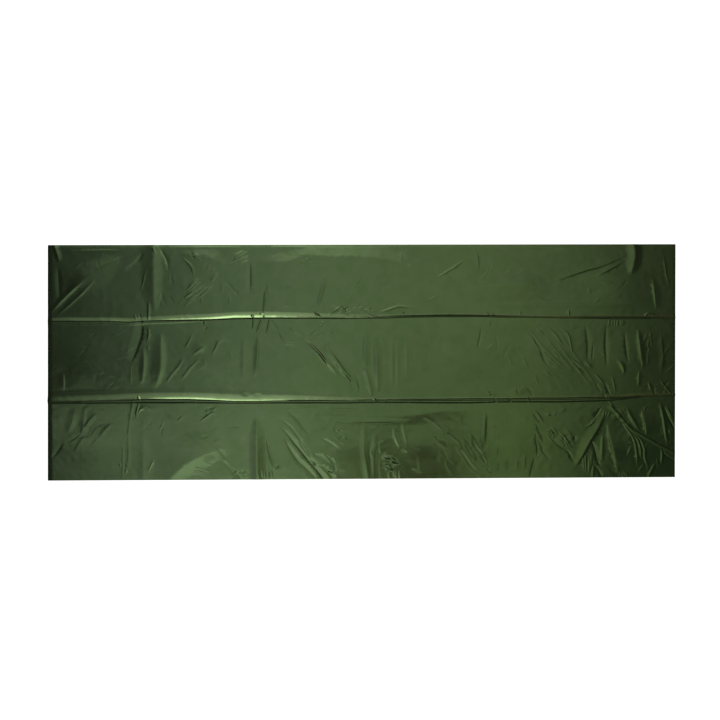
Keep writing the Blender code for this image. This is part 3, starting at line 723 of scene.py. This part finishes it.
print("a wrinkle a tenth of its length in has", round(float(fading(0.1, "both")), 2), "of its height")

# %% Height of the whole film over the plan
EDGE_DROOP = (
    # side    width drop
    ("left", 18.0, 1.5),
    ("top", 11.0, 0.7),
    ("right", 9.0, 0.4),
)
LOWEST = 0.25                              # mm over the floor: the film never goes through it


def film_height(x, y):
    """Height of the film over the floor, in mm, at the points x, y."""
    height = np.full(x.shape, FLOAT)
    height += crease_height(x, y, UPPER_CREASE) + crease_height(x, y, LOWER_CREASE)
    for wrinkle in WRINKLES:
        add_wrinkle(height, x, y, wrinkle)
    for sx, sy, along, across, lift in SWELLS:
        reach = np.clip(np.hypot((x - sx) / along, (y - sy) / across), 0.0, 1.0)
        height += lift * np.cos(reach * math.pi / 2) ** 2
    inward = {
        "left": x + HALF,
        "top": edge_height(x, LEFT_TOP, RIGHT_TOP) - y,
        "right": right_edge(y) - x,
    }
    for side, width, drop in EDGE_DROOP:
        height -= drop * np.clip(1.0 - inward[side] / width, 0.0, 1.0) ** 2
    return np.maximum(height, LOWEST)


print("film over its middle point:", film_height(np.zeros(1), np.zeros(1)).round(2), "mm")

# %% [markdown]
# ## Where the mesh needs points
#
# An even grid fine enough for the wrinkles would need millions of points, and most would lie on
# smooth film.  So the points are set where the shape is: rows of them follow every crease and
# wrinkle, close together across the ridge, and a loose staggered pattern fills the panels.
# Blender's own triangle cutter then joins them, and keeps the triangles as even as it can.

# %% Rows of points along a crease
CREASE_STEP = 4.4                          # mm between points along a crease
FLANK_ROWS = (1.12, 1.0, 0.84, 0.68, 0.54, 0.42, 0.31, 0.22, 0.14, 0.07, 0.03)
FOOT_GAP = 3.0                             # mm: one more row, beyond the foot of the drop


def crease_points(crease):
    """Rows of points up the flank, on the crest, and down the drop with its ledge."""
    columns = np.arange(-HALF, HALF + 1.0, CREASE_STEP)
    line, _, flank, drop, ledge, _ = crease_at(columns, crease)
    foot = line - 2.0 * drop - ledge
    rows = [line + share * flank for share in FLANK_ROWS]
    rows += [line, line - 0.5 * drop, line - drop, line - drop - 0.5 * ledge, line - drop - ledge]
    rows += [line - 1.5 * drop - ledge, foot, foot - FOOT_GAP]
    return np.concatenate([np.column_stack((columns, row)) for row in rows])


print("points along the upper crease:", len(crease_points(UPPER_CREASE)))

# %% Rows of points along a wrinkle
WRINKLE_STEP = 3.4                         # mm between points along a narrow wrinkle
WIDE_STEP = 0.28                           # and along a wide one, in shares of its narrower slope
WRINKLE_ROWS = (0.0, 0.16, 0.4, 0.7, 1.0)  # shares of a slope's width, from the ridge to the foot
BEYOND_FOOT = 1.3                          # mm: one more row, just outside the wrinkle's foot


def wrinkle_points(wrinkle):
    """Rows of points on the ridge of a wrinkle and down both of its slopes."""
    left, right, _, fade, curve = wrinkle
    starts = measure(curve)[1]
    step = max(WRINKLE_STEP, WIDE_STEP * min(left, right))
    places = np.linspace(0.0, starts[-1], max(3, round(starts[-1] / step)))
    middle = np.column_stack([np.interp(places, starts, curve[:, i]) for i in (0, 1)])
    ahead = np.gradient(middle, axis=0)
    ahead /= np.hypot(ahead[:, 0], ahead[:, 1])[:, None]
    sideways = np.column_stack((-ahead[:, 1], ahead[:, 0]))
    full = np.array([fading(place / starts[-1], fade) for place in places])[:, None]
    width = 1.0 - POINTED + POINTED * full
    rows = [middle + sideways * width * left * share for share in WRINKLE_ROWS]
    rows += [middle - sideways * width * right * share for share in WRINKLE_ROWS[1:]]
    rows.append(middle + sideways * (width * left + BEYOND_FOOT))
    rows.append(middle - sideways * (width * right + BEYOND_FOOT))
    return np.concatenate(rows)


print("points along the first wrinkle:", len(wrinkle_points(WRINKLES[0])))

# %% Points on smooth film and round the edge
PANEL_STEP = 8.4                           # mm between points on smooth film
ROW_SHARE = 0.866                          # rows this share of a step apart make equal triangles
EDGE_STEP = 6.0                            # mm between points round the edge
EDGE_APART = 0.9                           # mm: points of the edge closer than this become one
CREASE_END = (30, 20, 12, 7, 4, 2, 1, 0, -1.5, -3, -5, -8, -12)  # mm off the crest, on a short edge


def panel_points():
    """Points in staggered rows, like the corners of equal triangles."""
    points = []
    for i, row in enumerate(np.arange(LEFT_BOTTOM, RIGHT_TOP, PANEL_STEP * ROW_SHARE)):
        start = -HALF + PANEL_STEP * (0.25 + 0.5 * (i % 2))
        columns = np.arange(start, HALF, PANEL_STEP)
        points.append(np.column_stack((columns, np.full(columns.shape, row))))
    return np.concatenate(points)


def edge_points():
    """Points round the cut edge, closer together where a crease runs out."""
    corners = [(-HALF, LEFT_BOTTOM), (right_edge(RIGHT_BOTTOM), RIGHT_BOTTOM),
               (right_edge(RIGHT_TOP), RIGHT_TOP), (-HALF, LEFT_TOP)]
    points = []
    for (ax, ay), (bx, by) in zip(corners, corners[1:] + corners[:1]):
        run = math.hypot(bx - ax, by - ay)
        places = list(np.arange(0.0, run - 0.5 * EDGE_STEP, EDGE_STEP))
        if abs(bx - ax) < abs(by - ay):
            for crease in (UPPER_CREASE, LOWER_CREASE):
                crest = (crease[0] if ax < 0 else crease[-1])[1]
                places += [(crest + offset - ay) / (by - ay) * run for offset in CREASE_END]
        places = sorted(set(round(p, 2) for p in places))
        kept = [places[0]]
        for place in places[1:]:
            if place - kept[-1] > EDGE_APART:
                kept.append(place)
        points += [(ax + (bx - ax) * p / run, ay + (by - ay) * p / run) for p in kept]
    return points


print("points round the edge:", len(edge_points()))

# %% Join the points into triangles
APART = 1.3                                # mm: points closer than this become one
MARGIN = 1.4                               # mm that points inside keep from the cut edge
PANEL_GAP = 0.55 * PANEL_STEP              # and that panel points keep from the rows and each other
KEEP_INSIDE = 1                            # tells the cutter to keep what is inside the rim
MERGE = 0.01                               # mm: it takes points closer than this for one


def thin_out(points, taken, apart):
    """Keep each point that is not too close to one that is already kept."""
    kept = []
    for x, y in points:
        cx, cy = int(x // apart), int(y // apart)
        near = (other for i in (cx - 1, cx, cx + 1) for j in (cy - 1, cy, cy + 1)
                for other in taken.get((i, j), ()))
        if not any((a - x) ** 2 + (b - y) ** 2 < apart ** 2 for a, b in near):
            taken.setdefault((cx, cy), []).append((x, y))
            kept.append((x, y))
    return kept


def inside(points):
    """The points that lie on the sheet, clear of its edge."""
    x, y = points[:, 0], points[:, 1]
    keep = (x > -HALF + MARGIN) & (x < right_edge(y) - MARGIN)
    keep &= y < edge_height(x, LEFT_TOP, RIGHT_TOP) - MARGIN
    keep &= y > edge_height(x, LEFT_BOTTOM, RIGHT_BOTTOM) + MARGIN
    return points[keep]


def plan_of_film():
    """The film seen from above: its points, and the triangles between them."""
    rim = edge_points()
    fine = [crease_points(UPPER_CREASE), crease_points(LOWER_CREASE)]
    fine += [wrinkle_points(wrinkle) for wrinkle in WRINKLES]
    dense = thin_out(inside(np.concatenate(fine)).tolist(), {}, APART)
    wide = {}
    thin_out(rim + dense, wide, PANEL_GAP)
    loose = thin_out(inside(panel_points()).tolist(), wide, PANEL_GAP)
    points = [Vector(p) for p in rim + dense + loose]
    ring = [(i, (i + 1) % len(rim)) for i in range(len(rim))]
    cut = delaunay_2d_cdt(points, ring, [], KEEP_INSIDE, MERGE)
    print("points:", len(rim), "rim,", len(dense), "along folds,", len(loose), "in panels")
    return np.array([tuple(p) for p in cut[0]]), [tuple(face) for face in cut[2]]


plan, triangles = plan_of_film()

# %% [markdown]
# ## The mesh
#
# Each point of the plan is lifted to the film's height there.  Smooth shading by itself takes its
# directions from the triangles, and foil shows each of their corners in its reflections.  So the
# mesh also carries the film's own direction at each point, measured on the height function, and
# the glints stay clean.

# %% Lift the plan into a sheet
NORMAL_REACH = 0.9                         # mm to each side, over which a slope is measured


def film_normals(x, y):
    """Direction that the film faces at each point, from the slope of its height."""
    reach = NORMAL_REACH
    slope_x = (film_height(x + reach, y) - film_height(x - reach, y)) / (2 * reach)
    slope_y = (film_height(x, y + reach) - film_height(x, y - reach)) / (2 * reach)
    normals = np.column_stack((-slope_x, -slope_y, np.ones(x.shape)))
    return normals / np.linalg.norm(normals, axis=1)[:, None]


def make_film():
    """The sheet of film as one mesh, with its flat pattern as UV coordinates."""
    x, y = plan[:, 0], plan[:, 1]
    spots = np.column_stack((x, y, film_height(x, y))) * MM
    mesh = bpy.data.meshes.new("foil_blanket")
    mesh.from_pydata(spots.tolist(), [], triangles)
    if mesh.polygons[0].normal.z < 0:
        mesh.flip_normals()
    mesh.shade_smooth()
    mesh.normals_split_custom_set_from_vertices(film_normals(x, y).tolist())
    layer = mesh.uv_layers.new(name="flat")
    corner = np.array([loop.vertex_index for loop in mesh.loops])
    flat = np.column_stack(((x + HALF) / (2 * HALF), (y - LEFT_BOTTOM) / (LEFT_TOP - LEFT_BOTTOM)))
    layer.data.foreach_set("uv", flat[corner].ravel())
    sheet = bpy.data.objects.new("foil_blanket", mesh)
    bpy.context.scene.collection.objects.link(sheet)
    print("film:", len(spots), "points,", len(mesh.polygons), "triangles")
    return sheet


film = make_film()

# %% [markdown]
# ## The finish: metallised PET film with green lacquer
#
# Polyester film is coated with aluminium in a vacuum and then lacquered dark green.  The metal
# gives mirror-like glints, the rolled film's fine grain blurs them, and the clear lacquer on top
# adds a second, paler shine.  The shader is the Principled one at full metallic with a light
# coat.  Its colour is the metal's tint, not a paint's: it only shows in what it reflects.

# %% A colour helper and a node helper
def linear(code):
    """Turn an sRGB hex colour, as picked from a screen, into the linear values shaders use."""
    channels = [int(code[i:i + 2], 16) / 255 for i in (1, 3, 5)]
    return (*(c / 12.92 if c <= 0.04045 else ((c + 0.055) / 1.055) ** 2.4 for c in channels), 1.0)


def add_node(tree, kind, settings=(), links=()):
    """Add a node, give its sockets or properties their values, and link what feeds it."""
    node = tree.nodes.new(kind)
    for name, value in dict(settings).items():
        if isinstance(name, int) or name in node.inputs:
            node.inputs[name].default_value = value
        else:
            setattr(node, name, value)
    for name, source in dict(links).items():
        tree.links.new(source, node.inputs[name])
    return node


print("middle grey #808080 in linear light:", round(linear("#808080")[0], 3))

# %% The film's material
LACQUER_GREEN = "#5B7544"                  # the tint where the lacquer is thick
LACQUER_GREY = "#71825B"                   # and where it is thin and the metal shows through
TINT_PATCH = 45 * MM                       # size of the patches where the tint drifts
GRAIN = 2.2 * MM                           # grain of the rolled film, drawn coarse enough to show
GLOSS = (0.11, 0.14)                       # roughness, from the grain's valleys to its tops
CRINKLE = 34 * MM                          # size of the finest crinkles, too small for the mesh
CRINKLE_DEPTH = 0.34 * MM
GRAIN_SHARE = 0.3                          # height of the grain, in shares of the crinkles'


def metallised_film():
    """Full metal with a tint that drifts, a grain that blurs it and a clear coat over it."""
    material = bpy.data.materials.new("metallised_PET_film_green_lacquer")
    material.use_nodes = True
    tree = material.node_tree
    tree.nodes.clear()
    place = add_node(tree, "ShaderNodeTexCoord").outputs["Object"]
    drift = add_node(tree, "ShaderNodeTexNoise",
                     {"Scale": 1 / TINT_PATCH, "Detail": 4.0, "Distortion": 0.6},
                     {"Vector": place})
    tint = add_node(tree, "ShaderNodeMix",
                    {"data_type": "RGBA", 6: linear(LACQUER_GREEN), 7: linear(LACQUER_GREY)},
                    {0: drift.outputs["Fac"]})
    grain = add_node(tree, "ShaderNodeTexNoise", {"Scale": 1 / GRAIN, "Detail": 2.0},
                     {"Vector": place})
    gloss = add_node(tree, "ShaderNodeMapRange", {"To Min": GLOSS[0], "To Max": GLOSS[1]},
                     {"Value": grain.outputs["Fac"]})
    crinkle = add_node(tree, "ShaderNodeTexNoise",
                       {"noise_type": "RIDGED_MULTIFRACTAL", "Scale": 1 / CRINKLE, "Detail": 1.0},
                       {"Vector": place})
    relief = add_node(tree, "ShaderNodeMath", {"operation": "MULTIPLY_ADD", 1: GRAIN_SHARE},
                      {0: grain.outputs["Fac"], 2: crinkle.outputs["Fac"]})
    bump = add_node(tree, "ShaderNodeBump", {"Strength": 1.0, "Distance": CRINKLE_DEPTH},
                    {"Height": relief.outputs[0]})
    shader = add_node(tree, "ShaderNodeBsdfPrincipled",
                      {"Metallic": 1.0, "Coat Weight": 0.35, "Coat Roughness": 0.2},
                      {"Base Color": tint.outputs[2], "Roughness": gloss.outputs[0],
                       "Normal": bump.outputs["Normal"]})
    add_node(tree, "ShaderNodeOutputMaterial", (), {"Surface": shader.outputs[0]})
    return material


film.data.materials.append(metallised_film())
print("finish:", film.data.materials[0].name)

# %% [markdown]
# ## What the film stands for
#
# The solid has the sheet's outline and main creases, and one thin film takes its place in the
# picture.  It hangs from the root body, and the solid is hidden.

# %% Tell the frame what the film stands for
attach(film, "root")
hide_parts("blanket")
print("declared:", film.name)

# %% [markdown]
# ## Floor and camera
#
# The blanket lies on a white floor and is looked at from straight above.  Lamps that suit the
# film leave the floor uneven, so most of the floor's white is light that it gives off itself.

# %% Floor and camera
CAMERA_HEIGHT = 3.346                      # metres
CAMERA_LENS = 50.0
SHEET_MIDDLE = (-0.0054, 0.0080)           # the point under the camera
FLOOR_SIZE = (18.0, 18.0)                  # metres
FLOOR_TOP = -0.0006                        # metres: just under the lowest point of the film


def make_board(name, size, place, finish, colour, roughness):
    """A flat rectangle of the studio in one plain colour.  Gives back its shader's inputs."""
    wide, high = size[0] / 2, size[1] / 2
    corners = [(-wide, -high, 0.0), (wide, -high, 0.0), (wide, high, 0.0), (-wide, high, 0.0)]
    mesh = bpy.data.meshes.new(name)
    mesh.from_pydata(corners, [], [(0, 1, 2, 3)])
    board = bpy.data.objects.new(name, mesh)
    board.location = place
    bpy.context.scene.collection.objects.link(board)
    material = bpy.data.materials.new(finish)
    material.use_nodes = True
    mesh.materials.append(material)
    inputs = material.node_tree.nodes["Principled BSDF"].inputs
    inputs["Base Color"].default_value = linear(colour)
    inputs["Roughness"].default_value = roughness
    return inputs


def make_floor():
    """The studio's white floor, which glows but isn't sampled as a lamp."""
    inputs = make_board("studio_floor", FLOOR_SIZE, (0.0, 0.0, FLOOR_TOP),
                        "white_studio_floor", "#F2F2F0", 0.8)
    inputs["Emission Color"].default_value = (1.0, 1.0, 1.0, 1.0)
    inputs["Emission Strength"].default_value = 0.95
    bpy.data.materials["white_studio_floor"].cycles.emission_sampling = "NONE"


def make_camera():
    """A camera that looks straight down, which is how a new camera looks."""
    data = bpy.data.cameras.new("camera")
    data.lens = CAMERA_LENS
    camera = bpy.data.objects.new("camera", data)
    camera.location = (*SHEET_MIDDLE, CAMERA_HEIGHT)
    bpy.context.scene.collection.objects.link(camera)
    bpy.context.scene.camera = camera


make_floor()
make_camera()
print("camera:", CAMERA_HEIGHT, "m up, lens", CAMERA_LENS, "mm")

# %% [markdown]
# ## What the film mirrors
#
# Flat film shows the part of the ceiling that lies twice as far from the middle as it does
# itself, and a slope of one in ten shows what is 0.67 m farther that way.  So the light is made
# of large soft lamps, each with its own place, and each says how its brightness runs over its
# face.  Where one lamp is behind another in the film their light adds up, but two at exactly one
# height hide each other, so each hangs a few millimetres higher or lower than the rest.

# %% A soft lamp
SOFT_EDGES = ((0.0, 0.0), (0.3, 1.0), (0.7, 1.0), (1.0, 0.0))


def brightness_ramp(tree, place, stops):
    """A colour ramp that says how bright the lamp's face is along one of its sides."""
    ramp = add_node(tree, "ShaderNodeValToRGB", (), {"Fac": place})
    marks = ramp.color_ramp
    marks.interpolation = "B_SPLINE"
    while len(marks.elements) < len(stops):
        marks.elements.new(0.5)
    for element, (share, level) in zip(marks.elements, stops):
        element.position = share
        element.color = (level, level, level, 1.0)
    return ramp.outputs["Color"]


def make_softbox(name, size, place, radiance, tints, along=SOFT_EDGES, across=SOFT_EDGES, aim=None):
    """A rectangular lamp that points straight down, or at aim.  radiance is how bright its face
    looks.  tints are the colours of its -X end and its +X end, and a third is the +X end's own
    on the +Y side.  along and across say how bright it is from -X to +X and from -Y to +Y."""
    data = bpy.data.lights.new(name, "AREA")
    data.shape = "RECTANGLE"
    data.size, data.size_y = size
    data.energy = radiance * math.pi * size[0] * size[1]
    lamp = bpy.data.objects.new(name, data)
    lamp.location = place
    way = Vector(aim or (place[0], place[1], 0.0)) - Vector(place)
    lamp.rotation_euler = way.to_track_quat("-Z", "Y").to_euler()
    lamp.visible_camera = False
    bpy.context.scene.collection.objects.link(lamp)
    data.use_nodes = True
    tree = data.node_tree
    tree.nodes.clear()
    face = add_node(tree, "ShaderNodeNewGeometry").outputs["Parametric"]
    parts = add_node(tree, "ShaderNodeSeparateXYZ", (), {"Vector": face})
    right = add_node(tree, "ShaderNodeMix",
                     {"data_type": "RGBA", 6: linear(tints[1]), 7: linear(tints[-1])},
                     {0: parts.outputs["Y"]})
    tint = add_node(tree, "ShaderNodeMix", {"data_type": "RGBA", 6: linear(tints[0])},
                    {0: parts.outputs["X"], 7: right.outputs[2]})
    first = add_node(tree, "ShaderNodeMix", {"data_type": "RGBA", "blend_type": "MULTIPLY", 0: 1.0},
                     {6: tint.outputs[2], 7: brightness_ramp(tree, parts.outputs["X"], along)})
    both = add_node(tree, "ShaderNodeMix", {"data_type": "RGBA", "blend_type": "MULTIPLY", 0: 1.0},
                    {6: first.outputs[2], 7: brightness_ramp(tree, parts.outputs["Y"], across)})
    glow = add_node(tree, "ShaderNodeEmission", {"Strength": 1.0}, {"Color": both.outputs[2]})
    add_node(tree, "ShaderNodeOutputLight", (), {"Surface": glow.outputs[0]})


print("soft edges, as (share of the side, brightness):", SOFT_EDGES)

# %% [markdown]
# ## The lamps
#
# The overhead softbox is what the flat film shows: it is brightest over the middle, and the film
# falls off to its ends with it.  The lamps beyond the +Y side are seen only by slopes that face
# +Y, so they draw the bright line along each crease, and the one lamp that is tilted adds the
# glints on the crests.  The left lamp and the brown wall are dim, and keep steep slopes from
# going black.  The two lamps on the -Y side brighten the left of the lower strip and the slopes
# that face -Y.  The last two are weak and tint single areas of the right half.

# %% Overhead, and beyond the +Y side
make_softbox("overhead_softbox", (5.4, 3.6), (0.0, -0.2, 3.35), 0.60,
             ("#DCE8FF", "#EDFFA8", "#FAFFE4"),
             along=((0.0, 0.02), (0.09, 0.05), (0.17, 0.22), (0.25, 0.53), (0.33, 0.84), (0.42, 1.0),
                    (0.47, 1.0), (0.53, 0.82), (0.62, 0.76), (0.69, 0.65), (0.74, 0.51), (0.80, 0.31),
                    (0.85, 0.15), (0.90, 0.06), (1.0, 0.02)),
             across=((0.0, 0.3), (0.3, 0.86), (0.5, 0.95), (0.75, 0.95), (0.86, 0.68), (1.0, 0.0)))
make_softbox("glow_softbox", (2.6, 2.1), (-1.15, 2.0, 3.36), 1.4, ("#F4F9FF", "#FFFFFF"),
             along=((0.0, 0.1), (0.2, 0.28), (0.42, 0.6), (0.6, 1.0), (0.85, 1.0), (1.0, 0.0)),
             across=((0.0, 0.2), (0.12, 0.5), (0.35, 0.75), (1.0, 1.1)))
make_softbox("strip_softbox", (2.6, 0.6), (0.9, 1.22, 3.365), 0.5, ("#FFFFFF", "#FFF4E0"),
             along=((0.0, 0.0), (0.2, 0.9), (0.45, 0.6), (0.7, 0.35), (1.0, 0.1)),
             across=((0.0, 0.5), (0.3, 1.0), (0.7, 0.8), (1.0, 0.0)))
make_softbox("key_softbox", (1.4, 1.5), (-1.0, 3.15, 2.5), 6.0, ("#FFFFFF", "#FFFFFF"),
             along=((0.0, 0.1), (0.3, 0.8), (0.5, 1.0), (0.8, 1.0), (1.0, 0.0)),
             aim=(-0.5, 0.0, 0.0))
make_softbox("left_softbox", (1.2, 2.4), (-1.95, 2.3, 3.37), 0.12, ("#EEF4FF", "#F6FAFF"))
make_softbox("brown_wall", (3.0, 2.4), (1.5, 2.6, 3.38), 0.26, ("#FFD4AC", "#FFD4AC"))
make_softbox("slant_softbox", (1.5, 0.9), (0.85, 1.85, 3.355), 1.0, ("#F4F9FF", "#FFFFFF"),
             along=((0.0, 0.3), (0.2, 1.0), (0.6, 0.8), (1.0, 0.1)))
print("lamps so far:", len(bpy.data.lights))

# %% On the -Y side, and over the right half
make_softbox("front_softbox", (2.2, 1.2), (-1.1, -0.90, 3.34), 0.60, ("#F0F6FF", "#FFFFFF"),
             along=((0.0, 0.2), (0.08, 0.6), (0.16, 0.8), (0.24, 0.72), (0.32, 0.54), (0.40, 0.44),
                    (0.65, 0.46), (0.75, 0.38), (0.84, 0.25), (0.92, 0.08), (1.0, 0.0)),
             across=((0.0, 0.08), (0.45, 0.18), (0.7, 0.42), (0.9, 1.0), (1.0, 1.0)))
make_softbox("low_softbox", (2.8, 0.9), (-0.4, -1.28, 3.33), 0.8, ("#F4F9FF", "#FFFFFF"),
             along=((0.0, 0.0), (0.2, 1.0), (0.42, 1.0), (0.55, 0.45), (0.8, 0.15), (1.0, 0.0)),
             across=((0.0, 0.6), (0.6, 1.0), (0.9, 0.8), (1.0, 0.3)))
make_softbox("upper_softbox", (2.2, 0.8), (1.05, 0.46, 3.345), 0.10, ("#F8FFE8", "#F0FAFF"),
             across=((0.0, 0.0), (0.4, 0.8), (0.7, 1.0), (1.0, 0.0)))
make_softbox("yellow_softbox", (0.4, 0.62), (0.99, -0.56, 3.325), 0.08, ("#F4FF70", "#F4FF70"),
             along=((0.0, 0.0), (0.1, 1.0), (0.9, 1.0), (1.0, 0.0)),
             across=((0.0, 1.0), (0.8, 1.0), (1.0, 0.0)))
print("lamps:", len(bpy.data.lights))

# %% [markdown]
# ## Cards
#
# A painted card hung under the lamps covers a piece of them, and its mirror image is a dull patch
# in the film with straight edges.  Darker paint on the film would look the same from above only:
# a card moves in the film as it does in a real room.

# %% Four cards
CARDS = (
    # size         place                colour
    ((0.42, 0.43), (0.43, -0.70, 3.2), "#5E5242"),
    ((0.47, 0.42), (-0.02, -0.70, 3.2), "#929682"),
    ((0.50, 0.20), (-1.84, -0.14, 3.2), "#2A302A"),
    ((0.62, 0.50), (1.80, -0.64, 3.2), "#3E4C42"),
)
for size, place, colour in CARDS:
    make_board("studio_card", size, place, "painted_board", colour, 0.9)
print("cards:", len(CARDS))

# %% [markdown]
# ## The room
#
# Steep slopes look past the lamps into the room, which is dim and gets paler towards the foot of
# its walls.  The camera alone sees it as white, like the floor.

# %% The room, and plain colours
ROOM_LOW, ROOM_HIGH = 0.20, 0.05           # brightness at eye level, and higher up
ROOM_TURN = 0.35                           # how steeply up a look has to go to see the darker part


def make_room():
    """A dim grey room that gets paler towards the foot of its walls."""
    world = bpy.data.worlds.new("studio_room")
    bpy.context.scene.world = world
    world.use_nodes = True
    tree = world.node_tree
    tree.nodes.clear()
    way = add_node(tree, "ShaderNodeTexCoord").outputs["Generated"]
    parts = add_node(tree, "ShaderNodeSeparateXYZ", (), {"Vector": way})
    level = add_node(tree, "ShaderNodeMapRange",
                     {"From Min": 0.0, "From Max": ROOM_TURN, "To Min": ROOM_LOW, "To Max": ROOM_HIGH},
                     {"Value": parts.outputs["Z"]})
    seen = add_node(tree, "ShaderNodeLightPath").outputs["Is Camera Ray"]
    strength = add_node(tree, "ShaderNodeMath", {"operation": "MAXIMUM"},
                        {0: level.outputs[0], 1: seen})
    sky = add_node(tree, "ShaderNodeBackground", {"Color": (0.97, 0.98, 0.98, 1.0)},
                   {"Strength": strength.outputs[0]})
    add_node(tree, "ShaderNodeOutputWorld", (), {"Surface": sky.outputs[0]})


make_room()
bpy.context.scene.view_settings.view_transform = "Standard"
print("room:", ROOM_LOW, "at eye level,", ROOM_HIGH, "above")
